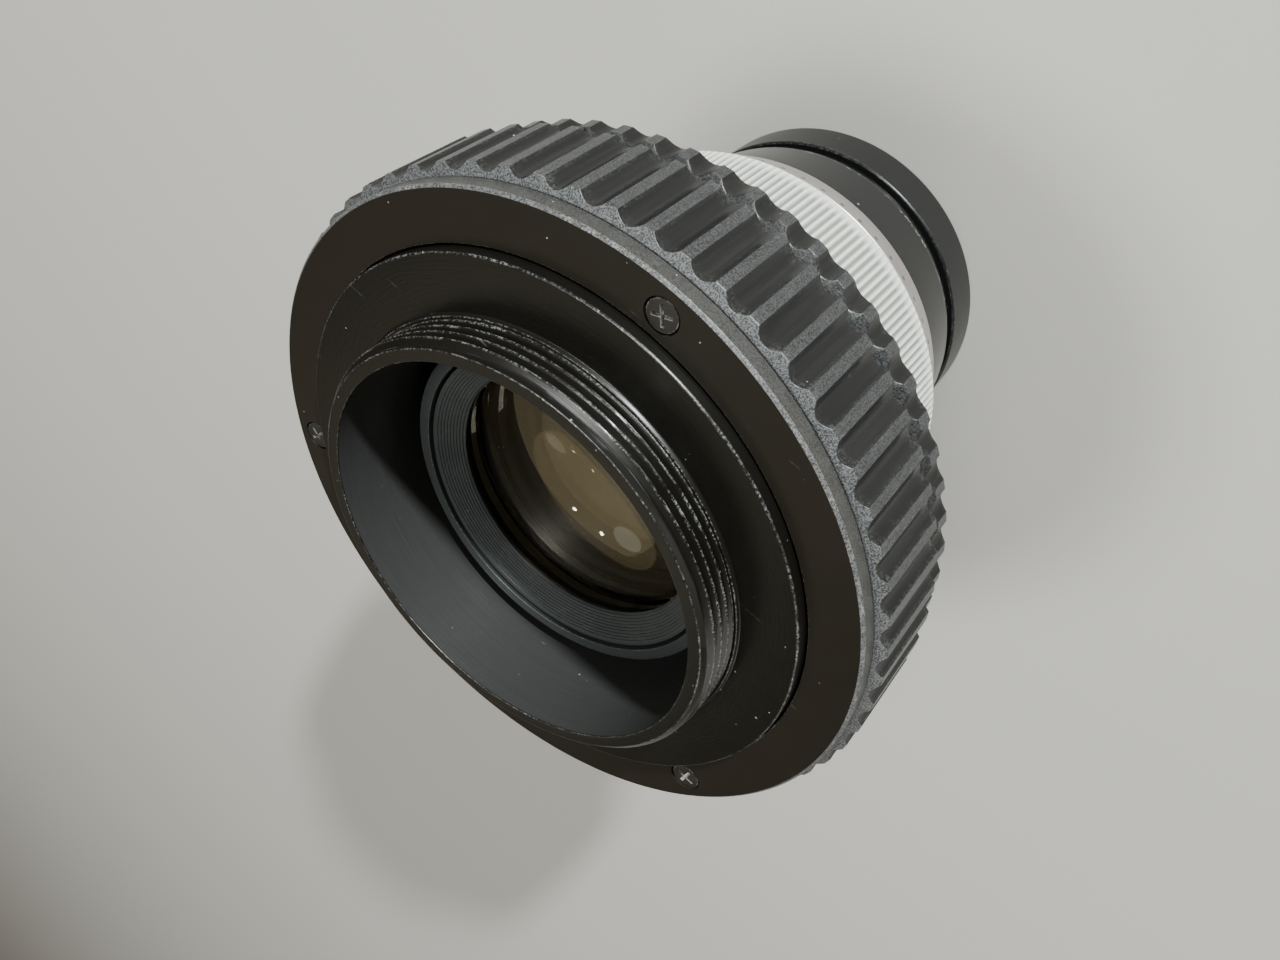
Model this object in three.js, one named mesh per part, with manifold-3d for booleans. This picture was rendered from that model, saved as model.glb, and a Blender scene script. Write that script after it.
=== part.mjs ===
// A photographic lens with a knurled aperture ring, carried by a black double-helicoid focusing adapter.
// Millimetres. The optical axis is +Z and points towards the rear screw mount.
// The assembly stands on its front ring at z = 0, with the helicoid closed and the iris wide open.
import * as THREE from "three";
import { mergeVertices } from "three/addons/utils/BufferGeometryUtils.js";
import Module from "manifold-3d";

const wasm = await Module();
wasm.setup();

// ---- driving dimensions ----
const FINE = 48; // sides of a round piece that shows
const PLAIN = 32; // sides of a round piece inside
const GAP = 0.3; // clearance between neighbouring pieces

const MOUNT = {
  rim: 60.4,
  threadRadius: 21,
  rimRadius: 20.3,
  boreRadius: 19.2,
  collarRadius: 21.2,
  collarTop: 56.25,
  discTop: 55.95,
  discRadius: 26.55,
  lipRadius: 27.3,
  discBottom: 53.2,
  recessRadius: 25,
  recessTop: 54.6,
  sleeveRadius: 20.8,
  sleeveEnd: 40.3,
};
const PLATE = { top: 54.8, bottom: 53.2, inner: 26.75, outer: 31.5, bevel: 0.25, relief: 27.5 };
const SCREW_CIRCLE = 28.85;
const SCREW_ANGLES = [90, 210, 330];

const FLUTES = { count: 62, depth: 0.62, ribShare: 0.29 };
const FOCUS = { front: 43.4, rear: 52.9, tip: 32.5, bore: 30.8, webTop: 44.9, webBore: 25.3, turn: -0.55 };
const FOCUS_SHOULDER = { radius: 31.5, drop: 0.45 };
const FLANGE = { front: 38.3, rear: 42.4, tip: 31.6, barrelRadius: 24.7, bore: 21.2, barrelEnd: 54.3, turn: 1.39 };
const FLANGE_SHOULDER = { radius: 29.9, drop: 1.15 };
const KEY = { width: 4, inner: 20.85, outer: 22.6, front: 40.3, rear: 50.3, angles: [0, 180] };

const SLEEVE = { inner: 25.05, outer: 26.7, flange: 28.2, front: 45.2, flangeTop: 46.4, rear: 52.9 };
const SLEEVE_SCREW_CIRCLE = 27;

const APERTURE = { front: 20.7, rear: 30.3, radius: 22.6, hollow: 21, webRear: 24.9, neckRadius: 17.6 };
const APERTURE_SWEEP = 90;
const DRIVE_Z = 22.9;

const BLADES = { count: 6, pivot: 14.9, head: 1.1, outer: 15.8, inner: 11.2, sweep: 95, first: 18.1, step: 0.4 };
const BLADE_SHEET = 0.15;

// ---- shared builders ----
const degrees = THREE.MathUtils.degToRad;

const FINISH = {
  black: { color: 0x17181a, metalness: 0.5, roughness: 0.5 },
  gloss: { color: 0x0b0b0c, metalness: 0.2, roughness: 0.15 },
  silver: { color: 0xc9cac6, metalness: 0.9, roughness: 0.35 },
  brass: { color: 0xb08a4a, metalness: 1, roughness: 0.35 },
  steel: { color: 0x6a6a6c, metalness: 1, roughness: 0.4 },
  glass: { color: 0x9c8a66, metalness: 0, roughness: 0.05, transparent: true, opacity: 0.4 },
  nylon: { color: 0xd8d6cd, metalness: 0, roughness: 0.6 },
};

function solidOf(geometry) {
  const bare = geometry.clone();
  bare.deleteAttribute("normal");
  bare.deleteAttribute("uv");
  const merged = mergeVertices(bare, 1e-4);
  const mesh = new wasm.Mesh({
    numProp: 3,
    vertProperties: merged.attributes.position.array,
    triVerts: new Uint32Array(merged.index.array),
  });
  return new wasm.Manifold(mesh);
}

function geometryOf(solid) {
  const mesh = solid.getMesh();
  const geometry = new THREE.BufferGeometry();
  geometry.setAttribute("position", new THREE.BufferAttribute(new Float32Array(mesh.vertProperties), 3));
  geometry.setIndex(new THREE.BufferAttribute(new Uint32Array(mesh.triVerts), 1));
  const faceted = geometry.toNonIndexed();
  faceted.computeVertexNormals();
  return faceted;
}

// A closed [radius, z] profile, listed with the outer wall going up, turned about the Z axis.
function turned(profile, sides = PLAIN) {
  const points = profile.map(([radius, z]) => new THREE.Vector2(radius, z));
  points.push(points[0].clone());
  const geometry = new THREE.LatheGeometry(points, sides);
  geometry.rotateX(Math.PI / 2);
  return solidOf(geometry);
}

// A flat outline of [x, y] points, raised from z = low to z = high.
function raised(outline, low, high) {
  const shape = new THREE.Shape(outline.map(([x, y]) => new THREE.Vector2(x, y)));
  const geometry = new THREE.ExtrudeGeometry(shape, { depth: high - low, bevelEnabled: false });
  geometry.translate(0, 0, low);
  return solidOf(geometry);
}

// A plain round rod along Z.
function rod(x, y, low, high, radius, sides = 12) {
  const geometry = new THREE.CylinderGeometry(radius, radius, high - low, sides);
  geometry.rotateX(Math.PI / 2);
  geometry.translate(x, y, (low + high) / 2);
  return solidOf(geometry);
}

// A round rod that points out from the axis at an angle, between two radii.
function radialRod(angle, inner, outer, z, radius, sides = 12) {
  const geometry = new THREE.CylinderGeometry(radius, radius, outer - inner, sides);
  geometry.rotateZ(-Math.PI / 2);
  geometry.translate((inner + outer) / 2, 0, z);
  geometry.rotateZ(degrees(angle));
  return solidOf(geometry);
}

// A box that points out from the axis at an angle.
function radialBox(angle, inner, outer, width, low, high) {
  const geometry = new THREE.BoxGeometry(outer - inner, width, high - low);
  geometry.translate((inner + outer) / 2, 0, (low + high) / 2);
  geometry.rotateZ(degrees(angle));
  return solidOf(geometry);
}

function onCircle(radius, angle) {
  return [radius * Math.cos(degrees(angle)), radius * Math.sin(degrees(angle))];
}

const group = new THREE.Group();

function add(name, solid, finish) {
  const mesh = new THREE.Mesh(geometryOf(solid), new THREE.MeshStandardMaterial(FINISH[finish]));
  mesh.name = name;
  group.add(mesh);
}

// ---- fluted grips ----
// Flat-topped ribs with a shallow hollow between each pair.
function flutedOutline(tip, turn) {
  const pitch = 360 / FLUTES.count;
  const floor = tip - FLUTES.depth;
  const rib = (pitch * FLUTES.ribShare) / 2;
  const outline = [];
  for (let i = 0; i < FLUTES.count; i++) {
    const middle = i * pitch + turn;
    outline.push(onCircle(tip, middle - rib));
    outline.push(onCircle(tip, middle + rib));
    outline.push(onCircle(floor, middle + pitch / 2));
  }
  return outline;
}

function makeFocusRing() {
  const { front, rear, tip, bore, webTop, webBore, turn } = FOCUS;
  const grip = raised(flutedOutline(tip, turn), front, rear);
  const envelope = turned(
    [
      [webBore, front],
      [tip + 0.1, front],
      [tip + 0.1, rear - FOCUS_SHOULDER.drop],
      [FOCUS_SHOULDER.radius, rear],
      [bore, rear],
      [bore, webTop],
      [webBore, webTop],
    ],
    FLUTES.count,
  );
  let ring = grip.intersect(envelope);
  for (const angle of SCREW_ANGLES) {
    const [x, y] = onCircle(SLEEVE_SCREW_CIRCLE, angle);
    ring = ring.subtract(rod(x, y, front - 1, front + 1.1, 1.35));
    ring = ring.subtract(rod(x, y, front, webTop + 1, 0.9));
  }
  add("focus_ring", ring, "black");
}

function makeFrontBarrel() {
  const { front, rear, tip, barrelRadius, bore, barrelEnd, turn } = FLANGE;
  const grip = raised(flutedOutline(tip, turn), front, rear);
  const envelope = turned(
    [
      [bore, front],
      [FLANGE_SHOULDER.radius, front],
      [tip + 0.1, front + FLANGE_SHOULDER.drop],
      [tip + 0.1, rear - FLANGE_SHOULDER.drop],
      [FLANGE_SHOULDER.radius, rear],
      [bore, rear],
    ],
    FLUTES.count,
  );
  const barrel = turned([
    [bore, front + 1],
    [barrelRadius, front + 1],
    [barrelRadius, barrelEnd],
    [bore, barrelEnd],
  ]);
  let body = grip.intersect(envelope).add(barrel);
  for (const angle of KEY.angles) {
    body = body.subtract(radialBox(angle, 20, KEY.outer + GAP, KEY.width + 2 * GAP, KEY.front - GAP, barrelEnd + 1));
  }
  add("front_barrel", body, "black");
}

// ---- rear mount, which slides out of the focus ring ----
function makeMountTube() {
  const m = MOUNT;
  const turns = [];
  for (let crest = 5; crest > 1.5; crest -= 1) {
    turns.push([20.4, PLATE.top + crest - 0.5]);
    turns.push([m.threadRadius, PLATE.top + crest]);
  }
  const thread = turns.sort((a, b) => a[1] - b[1]);
  const tube = turned(
    [
      [m.boreRadius, m.sleeveEnd],
      [m.sleeveRadius, m.sleeveEnd],
      [m.sleeveRadius, m.recessTop],
      [m.recessRadius, m.recessTop],
      [m.recessRadius, m.discBottom],
      [m.lipRadius, m.discBottom],
      [m.lipRadius, m.discBottom + 0.6],
      [m.discRadius, m.discBottom + 0.6],
      [m.discRadius, m.discTop - 0.2],
      [m.discRadius - 0.2, m.discTop],
      [m.collarRadius, m.discTop],
      [m.collarRadius, m.collarTop],
      ...thread,
      [m.rimRadius, m.rim],
      [m.boreRadius, m.rim],
    ],
    FINE,
  );
  let body = tube;
  for (const angle of KEY.angles) {
    body = body.subtract(radialRod(angle, 18.6, 22, KEY.rear - 2.5, 1));
  }
  add("mount_tube", body, "black");
}

function makeRearPlate() {
  const p = PLATE;
  let plate = turned(
    [
      [p.relief, p.bottom],
      [p.outer, p.bottom],
      [p.outer, p.top - p.bevel],
      [p.outer - p.bevel, p.top],
      [p.inner, p.top],
      [p.inner, MOUNT.discBottom + 0.9],
      [p.relief, MOUNT.discBottom + 0.9],
    ],
    FINE,
  );
  for (const angle of SCREW_ANGLES) {
    const [x, y] = onCircle(SCREW_CIRCLE, angle);
    plate = plate.subtract(rod(x, y, 53.95, p.top + 1, 1.6, 20));
    plate = plate.subtract(rod(x, y, 52, 54.5, 1.05));
  }
  add("rear_plate", plate, "black");
}

// A flush countersunk-style screw with a cross recess.
function makeRearScrews() {
  SCREW_ANGLES.forEach((angle, i) => {
    const [x, y] = onCircle(SCREW_CIRCLE, angle);
    const head = rod(x, y, 54.05, 54.72, 1.4, 20);
    const shank = rod(x, y, 50.9, 54.1, 0.75);
    let screw = head.add(shank);
    for (const turn of [20, 110]) {
      const slot = new THREE.BoxGeometry(1.7, 0.36, 1);
      slot.rotateZ(degrees(turn));
      slot.translate(x, y, 54.9);
      screw = screw.subtract(solidOf(slot));
    }
    add(`rear_screw_${i + 1}`, screw, "steel");
  });
}

function makeRearBarrel() {
  let barrel = turned([
    [28.5, 45.2],
    [30.4, 45.2],
    [30.4, 52.9],
    [27, 52.9],
    [27, 49.9],
    [28.5, 49.9],
  ]);
  for (const angle of SCREW_ANGLES) {
    const [x, y] = onCircle(SCREW_CIRCLE, angle);
    barrel = barrel.subtract(rod(x, y, 50.5, 53.5, 1.05));
  }
  add("rear_barrel", barrel, "black");
}

function makeGuideKeys() {
  KEY.angles.forEach((angle, i) => {
    const z = KEY.rear - 2.5;
    const hole = radialRod(angle, 20, 22.05, z, 1);
    const bar = radialBox(angle, KEY.inner + 0.25, KEY.outer, KEY.width, KEY.front, KEY.rear);
    add(`guide_key_${i + 1}`, bar.subtract(hole), "brass");
    const screw = radialRod(angle, 19.3, 21.8, z, 0.7);
    add(`key_screw_${i + 1}`, screw, "steel");
  });
}

// ---- rotating helicoid nut inside the focus ring ----
function makeHelicoidSleeve() {
  const s = SLEEVE;
  let sleeve = turned([
    [s.inner, s.front],
    [s.flange, s.front],
    [s.flange, s.flangeTop],
    [s.outer, s.flangeTop],
    [s.outer, s.rear],
    [s.inner, s.rear],
  ]);
  SCREW_ANGLES.forEach((angle, i) => {
    const [x, y] = onCircle(SLEEVE_SCREW_CIRCLE, angle);
    sleeve = sleeve.subtract(rod(x, y, s.front - 1, s.flangeTop + 0.3, 0.9));
    const head = rod(x, y, FOCUS.front + 0.2, FOCUS.front + 0.9, 1.05);
    const shank = rod(x, y, FOCUS.front + 0.8, s.flangeTop - 0.1, 0.6);
    add(`sleeve_screw_${i + 1}`, head.add(shank), "steel");
  });
  add("helicoid_sleeve", sleeve, "brass");
}

function makeGlideRing() {
  const ring = turned([
    [25.3, 42.7],
    [29.5, 42.7],
    [29.5, 43.1],
    [25.3, 43.1],
  ]);
  add("glide_ring", ring, "nylon");
}

// ---- lens, from its rear end to its front ----
function makeAdapterRing() {
  const ring = turned(
    [
      [19.75, 36.9],
      [24.4, 36.9],
      [24.4, 38],
      [20.8, 38],
      [20.8, 40],
      [19.75, 40],
    ],
    PLAIN,
  );
  add("adapter_ring", ring, "black");
}

function makeLensRearBarrel() {
  const barrel = turned([
    [17.95, 30.6],
    [22.1, 30.6],
    [22.1, 33.9],
    [25.6, 33.9],
    [25.6, 36.6],
    [19.4, 36.6],
    [19.4, 39.8],
    [17.2, 39.8],
    [17.2, 51.8],
    [15.95, 51.8],
    [15.95, 49.1],
    [15.2, 49.1],
    [15.2, 34],
    [17.95, 34],
  ]);
  add("lens_rear_barrel", barrel, "black");
}

function makeRearGroup() {
  const retainer = turned([
    [13.2, 49.35],
    [15.65, 49.35],
    [15.65, 51.5],
    [12.93, 49.9],
  ]);
  add("rear_retainer", retainer, "black");
  const cell = turned([
    [11.8, 35.6],
    [14.9, 35.6],
    [14.9, 49],
    [13.9, 49],
    [13.9, 37.4],
    [11.8, 37.4],
  ]);
  add("rear_cell", cell, "black");
  add("rear_element", lensSolid(13.6, 44.6, 48.6, 0.9, 1), "glass");
  add("rear_inner_element", lensSolid(13.6, 38, 42.6, -0.9, 0.9), "glass");
}

// A round lens element: edge faces at low and high, each surface bulging by its own sag.
function lensSolid(radius, low, high, lowSag, highSag) {
  const steps = 3;
  const profile = [[0, low - lowSag]];
  for (let i = 1; i <= steps; i++) {
    const r = (radius * i) / steps;
    profile.push([r, low - lowSag * (1 - (r / radius) ** 2)]);
  }
  for (let i = steps; i >= 0; i--) {
    const r = (radius * i) / steps;
    profile.push([r, high + highSag * (1 - (r / radius) ** 2)]);
  }
  const points = profile.map(([r, z]) => new THREE.Vector2(r, z));
  const geometry = new THREE.LatheGeometry(points, PLAIN);
  geometry.rotateX(Math.PI / 2);
  return solidOf(geometry);
}

function makeLensBody() {
  const neck = APERTURE.neckRadius;
  let body = turned(
    [
      [14.4, 2.9],
      [15.7, 2.9],
      [15.7, 5.7],
      [17.3, 5.7],
      [17.3, 6.2],
      [18.2, 6.3],
      [20, 15.4],
      [neck, 15.4],
      [neck, 33.6],
      [16.4, 33.6],
      [16.4, 16.4],
      [14.4, 16.4],
    ],
    FINE,
  );
  const slotLow = -8;
  const slotHigh = APERTURE_SWEEP + 8;
  const outline = [];
  for (let i = 0; i <= 12; i++) {
    outline.push(onCircle(19, slotLow + ((slotHigh - slotLow) * i) / 12));
  }
  for (let i = 12; i >= 0; i--) {
    outline.push(onCircle(15, slotLow + ((slotHigh - slotLow) * i) / 12));
  }
  body = body.subtract(raised(outline, DRIVE_Z - 1.3, DRIVE_Z + 1.3));
  add("lens_body", body, "gloss");
}

function makeFrontRing() {
  const ring = turned(
    [
      [16, 0],
      [17.9, 0],
      [18.3, 0.4],
      [18.4, 5.4],
      [16, 5.4],
    ],
    FINE,
  );
  add("front_ring", ring, "black");
}

function makeFrontGroup() {
  const retainer = turned([
    [12.1, 2.2],
    [15.7, 0.9],
    [15.7, 2.6],
    [12.1, 2.6],
  ]);
  add("front_retainer", retainer, "black");
  const cell = turned([
    [12.9, 2.95],
    [14.1, 2.95],
    [14.1, 15.6],
    [10.8, 15.6],
    [10.8, 14.4],
    [12.9, 14.4],
  ]);
  add("front_cell", cell, "black");
  add("front_element", lensSolid(12.6, 4.4, 8, 1.3, -0.8), "glass");
  add("front_inner_element", lensSolid(12.6, 9.6, 13.8, -0.8, -0.8), "glass");
}

function makeIndexRing() {
  const pocket = onCircle(19.7, 45);
  const ring = turned(
    [
      [17.9, 15.75],
      [20.5, 15.75],
      [22.35, 20.4],
      [17.9, 20.4],
    ],
    FINE,
  );
  add("index_ring", ring.subtract(rod(pocket[0], pocket[1], 17.2, 21, 1)), "silver");
  const ball = new THREE.SphereGeometry(0.7, 12, 8);
  ball.translate(pocket[0], pocket[1], 19.85);
  add("detent_ball", solidOf(ball), "steel");
  add("detent_spring", rod(pocket[0], pocket[1], 17.4, 18.9, 0.6), "steel");
}

function makeApertureRing() {
  const a = APERTURE;
  let ring = turned(
    [
      [a.neckRadius + GAP, a.front],
      [a.radius - 0.3, a.front],
      [a.radius, a.front + 0.3],
      [a.radius, a.rear],
      [a.hollow, a.rear],
      [a.hollow, a.webRear],
      [a.neckRadius + GAP, a.webRear],
    ],
    FINE,
  );
  ring = ring.subtract(radialRod(0, 17, 20.4, DRIVE_Z, 1.1));
  add("aperture_ring", ring, "silver");
  let cam = turned([
    [12.4, 20.8],
    [16.05, 20.8],
    [16.05, 24.6],
    [14.9, 24.6],
    [14.9, 21.5],
    [12.4, 21.5],
  ]);
  cam = cam.subtract(radialRod(0, 14, 17, DRIVE_Z, 1.1));
  add("iris_cam_ring", cam, "black");
  add("drive_screw", radialRod(0, 15, 20, DRIVE_Z, 0.8), "steel");
}

// ---- iris ----
// Each blade is a curved strip that turns about its round head, on a level of its own.
function bladeOutline() {
  const b = BLADES;
  const outline = [];
  for (let i = 0; i <= 8; i++) {
    const angle = 200 + (140 * i) / 8;
    const [x, y] = onCircle(b.head, angle);
    outline.push([b.pivot + x, y]);
  }
  for (let i = 0; i <= 12; i++) {
    outline.push(onCircle(b.outer, 5 + ((b.sweep - 5) * i) / 12));
  }
  for (let i = 12; i >= 0; i--) {
    outline.push(onCircle(b.inner, 9 + ((b.sweep - 9) * i) / 12));
  }
  return outline;
}

function makeIris() {
  const base = turned([
    [10.6, 16.8],
    [16, 16.8],
    [16, 17.7],
    [10.6, 17.7],
  ]);
  add("iris_base", base, "black");
  const outline = bladeOutline();
  for (let i = 0; i < BLADES.count; i++) {
    const low = BLADES.first + i * BLADES.step;
    const sheet = raised(outline, low, low + BLADE_SHEET);
    add(`iris_blade_${i + 1}`, sheet.rotate([0, 0, (360 / BLADES.count) * i]), "steel");
  }
}

makeFocusRing();
makeFrontBarrel();
makeMountTube();
makeRearPlate();
makeRearScrews();
makeRearBarrel();
makeGuideKeys();
makeHelicoidSleeve();
makeGlideRing();
makeAdapterRing();
makeLensRearBarrel();
makeRearGroup();
makeLensBody();
makeFrontRing();
makeFrontGroup();
makeIndexRing();
makeApertureRing();
makeIris();

export default group;
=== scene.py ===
"""Visual model of a photographic lens on a focusing helicoid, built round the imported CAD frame."""
import math

import bpy
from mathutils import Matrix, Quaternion, Vector


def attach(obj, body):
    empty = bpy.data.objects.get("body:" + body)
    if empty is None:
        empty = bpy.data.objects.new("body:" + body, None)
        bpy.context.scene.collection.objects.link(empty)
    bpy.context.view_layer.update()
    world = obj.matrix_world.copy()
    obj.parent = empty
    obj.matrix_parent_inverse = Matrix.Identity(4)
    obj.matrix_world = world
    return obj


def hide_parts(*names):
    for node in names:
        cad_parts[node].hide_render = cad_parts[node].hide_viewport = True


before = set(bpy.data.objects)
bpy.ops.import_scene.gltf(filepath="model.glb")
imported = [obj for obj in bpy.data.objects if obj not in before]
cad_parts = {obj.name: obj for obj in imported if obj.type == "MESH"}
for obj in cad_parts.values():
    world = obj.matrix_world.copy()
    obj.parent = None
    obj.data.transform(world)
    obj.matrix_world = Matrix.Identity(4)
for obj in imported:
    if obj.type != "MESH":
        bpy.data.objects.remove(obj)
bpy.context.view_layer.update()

MM = 0.001
TURN = 2 * math.pi

# ---- driving dimensions, in millimetres. Those that the CAD part has too agree with it to 0.1 mm ----
PLATE_TOP, PLATE_BOTTOM = 54.8, 53.1
PLATE_RADIUS, PLATE_HOLE, PLATE_BEVEL = 31.5, 26.75, 0.25
RIM = 60.4
BORE = 19.2
THREAD_RADIUS = 21.0
THREAD_PITCH = 1.0
THREAD_DEPTH = 0.6
DISC_TOP = 55.95
DISC_RADIUS = 26.55
SCREW_CIRCLE = 28.85
SCREW_ANGLES = (90, 210, 330)
FLUTE_COUNT = 62
FLUTE_DEPTH = 0.62
RIB_SHARE = 0.29
FOCUS_FRONT, FOCUS_REAR, FOCUS_TIP, FOCUS_BORE = 43.4, 52.95, 32.5, 30.8
FOCUS_SHOULDER, FOCUS_DROP, FOCUS_TURN = 31.5, 0.5, math.radians(-0.55)
FOCUS_WEB_TOP, FOCUS_WEB_BORE = 44.9, 25.3
FLANGE_FRONT, FLANGE_REAR, FLANGE_TIP = 38.3, 42.4, 31.6
FLANGE_SHOULDER, FLANGE_DROP, FLANGE_TURN = 29.9, 1.15, math.radians(1.39)
BARREL_RADIUS, BARREL_END, BARREL_BORE = 24.7, 54.3, 21.2
HELICOID_STARTS = 6
HELICOID_LEAD = 7.5
HELICOID_DEPTH = 0.5
APERTURE_FRONT, APERTURE_REAR, APERTURE_RADIUS = 20.7, 30.3, 22.6
KNURL_COUNT = 184
KNURL_DEPTH = 0.24
BLADE_COUNT = 6
BLADE_PIVOT, BLADE_HEAD = 14.9, 1.1
BLADE_OUTER, BLADE_INNER = 15.8, 11.2
BLADE_FIRST, BLADE_STEP, BLADE_SHEET = 18.1, 0.4, 0.15
DOT_SPACING, DOT_ARC, DOT_HEIGHT = math.radians(6), (math.radians(33), math.radians(142)), 19.2

# ---- mesh settings ----
SMOOTH = 160  # sides of a plain turned piece
FINE = 200  # sides of a turned piece that shows more
CREASE = 32  # degrees between two faces above which their shared edge is drawn sharp

# ---- material settings, in metres or cells per metre ----
GRAIN_HEIGHT = 0.00003
GRAIN_SCALE = 7500
LATHE_SCALE = 5200
PLATED_LATHE_SCALE = 4200


# ---- mesh builders ----
def polar(radius, angle):
    return radius * math.cos(angle), radius * math.sin(angle)


def link(name, data):
    obj = bpy.data.objects.new(name, data)
    bpy.context.scene.collection.objects.link(obj)
    return obj


def make_object(name, vertices, faces, wear=None, crest=None, crease=CREASE):
    """A smooth-shaded object from vertices in metres, with optional numbers per vertex for its material."""
    mesh = bpy.data.meshes.new(name)
    mesh.from_pydata(vertices, [], faces)
    for label, values in (("wear", wear), ("crest", crest)):
        if values is not None:
            layer = mesh.attributes.new(label, "FLOAT", "POINT")
            layer.data.foreach_set("value", values)
    mesh.shade_smooth()
    mesh.set_sharp_from_angle(angle=math.radians(crease))
    return link(name, mesh)


def weighted_normals(obj):
    modifier = obj.modifiers.new("even_shading", "WEIGHTED_NORMAL")
    modifier.keep_sharp = True
    return obj


def soften(profile, radius=0.12, steps=3):
    """Rounds every corner of a closed (r, z[, radius]) profile. Convex corners are marked as worn."""
    out = []
    count = len(profile)
    for i, corner in enumerate(profile):
        before = Vector(profile[i - 1][:2])
        here = Vector(corner[:2])
        after = Vector(profile[(i + 1) % count][:2])
        size = corner[2] if len(corner) > 2 else radius
        back, ahead = before - here, after - here
        cut_back = min(size, back.length * 0.45, ahead.length * 0.45)
        convex = back.x * ahead.y - back.y * ahead.x < 0
        if cut_back < 0.004:
            out.append((here.x, here.y, 0.0))
            continue
        start = here + back.normalized() * cut_back
        end = here + ahead.normalized() * cut_back
        for k in range(steps + 1):
            s = k / steps
            point = start * (1 - s) ** 2 + here * 2 * s * (1 - s) + end * s**2
            middle = 1 - abs(2 * s - 1)
            out.append((point.x, point.y, middle if convex else 0.0))
    return out


def revolve(name, section, angles, crease=CREASE):
    """Turns a closed section about the axis.

    section(angle) lists (r, z, wear[, crest]), with the same number of points at every angle.
    """
    vertices, wear, crest = [], [], []
    rows = 0
    for angle in angles:
        points = section(angle)
        rows = len(points)
        c, s = math.cos(angle), math.sin(angle)
        for point in points:
            vertices.append((point[0] * c * MM, point[0] * s * MM, point[1] * MM))
            wear.append(point[2])
            crest.append(point[3] if len(point) > 3 else 0.0)
    faces = []
    columns = len(angles)
    for i in range(columns):
        here, there = i * rows, ((i + 1) % columns) * rows
        for k in range(rows):
            n = (k + 1) % rows
            faces.append((here + k, there + k, there + n, here + n))
    return weighted_normals(make_object(name, vertices, faces, wear, crest, crease))


def even_angles(count):
    return [TURN * i / count for i in range(count)]


def turned(name, profile, radius=0.12, steps=3, sides=SMOOTH):
    """A plain turned piece: a closed (r, z[, corner radius]) profile with softened corners."""
    points = soften(profile, radius, steps)
    return revolve(name, lambda angle: points, even_angles(sides))


def dish(name, radius, low, high, low_sag, high_sag):
    """A round lens element. Each face bulges out by its own sag, and the rim has a small ground bevel."""
    sides, rings, bevel = 96, 18, 0.25
    half = [radius * (i / rings) for i in range(1, rings)] + [radius - bevel]
    lower = [(r, low - low_sag * (1 - (r / radius) ** 2)) for r in half]
    upper = [(r, high + high_sag * (1 - (r / radius) ** 2)) for r in reversed(half)]
    ring = lower + [(radius, low + bevel), (radius, high - bevel)] + upper
    vertices = [(0, 0, (low - low_sag) * MM), (0, 0, (high + high_sag) * MM)]
    for angle in even_angles(sides):
        for r, z in ring:
            vertices.append((r * math.cos(angle) * MM, r * math.sin(angle) * MM, z * MM))
    rows = len(ring)
    faces = []
    for i in range(sides):
        here, there = 2 + i * rows, 2 + ((i + 1) % sides) * rows
        faces.append((0, there, here))
        faces.append((1, here + rows - 1, there + rows - 1))
        for k in range(rows - 1):
            faces.append((here + k, there + k, there + k + 1, here + k + 1))
    return make_object(name, vertices, faces)


def fluted_angles(offset):
    """Angles that land on each rib's edges, closer together where the surface bends."""
    edge = RIB_SHARE / 2
    steps = [-0.5, -0.43, -0.36, -0.29, -0.235, -edge - 0.015, -edge, -edge + 0.02]
    steps += [-step for step in reversed(steps[1:])]
    pitch = TURN / FLUTE_COUNT
    return [((i + step) * pitch + offset) for i in range(FLUTE_COUNT) for step in steps]


def flute_depth(angle, offset):
    """(depth of the hollow, 1 on a rib's top and 0 elsewhere) at an angle."""
    from_rib = (angle - offset) / (TURN / FLUTE_COUNT)
    across = abs(from_rib - round(from_rib))
    edge = RIB_SHARE / 2
    if across <= edge + 1e-6:
        return 0.0, 1.0
    inward = (across - edge) / (0.5 - edge)
    return FLUTE_DEPTH * (1 - (1 - inward) ** 2), 0.0


def thread_radius(z, angle, crest, depth, pitch, starts=1):
    """Outer radius of a right-hand thread with narrow crest flats."""
    phase = (z / pitch - starts * angle / TURN) % 1.0
    rise = min(phase, 1 - phase) * 2
    return crest - depth * min(1.0, max(0.0, (rise - 0.12) / 0.68))


def helicoid_thread(low, high, angle, crest, samples):
    """Points up a six-start helicoid thread."""
    pitch = HELICOID_LEAD / HELICOID_STARTS
    points = []
    for k in range(samples + 1):
        z = low + (high - low) * k / samples
        points.append((thread_radius(z, angle, crest, HELICOID_DEPTH, pitch, HELICOID_STARTS), z, 0.0))
    return points


def prism_faces(count):
    """Faces of a prism whose vertices are listed as a lower ring and then an upper ring."""
    faces = [tuple(range(count))[::-1], tuple(range(count, 2 * count))]
    return faces + [(k, (k + 1) % count, count + (k + 1) % count, count + k) for k in range(count)]


def cylinder_cutter(x, y, low, high, radius, sides=48):
    vertices = []
    for z in (low, high):
        for angle in even_angles(sides):
            across, up = polar(radius, angle)
            vertices.append(((x + across) * MM, (y + up) * MM, z * MM))
    return make_object("cutter", vertices, prism_faces(sides))


def box_cutter(x, y, z, size, turn):
    half = [value / 2 for value in size]
    corners = [(sx, sy, sz) for sz in (-1, 1) for sy in (-1, 1) for sx in (-1, 1)]
    c, s = math.cos(turn), math.sin(turn)
    vertices = []
    for sx, sy, sz in corners:
        px, py = sx * half[0], sy * half[1]
        vertices.append(((x + px * c - py * s) * MM, (y + px * s + py * c) * MM, (z + sz * half[2]) * MM))
    faces = [(0, 2, 3, 1), (4, 5, 7, 6), (0, 1, 5, 4), (2, 6, 7, 3), (0, 4, 6, 2), (1, 3, 7, 5)]
    return make_object("cutter", vertices, faces)


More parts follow.
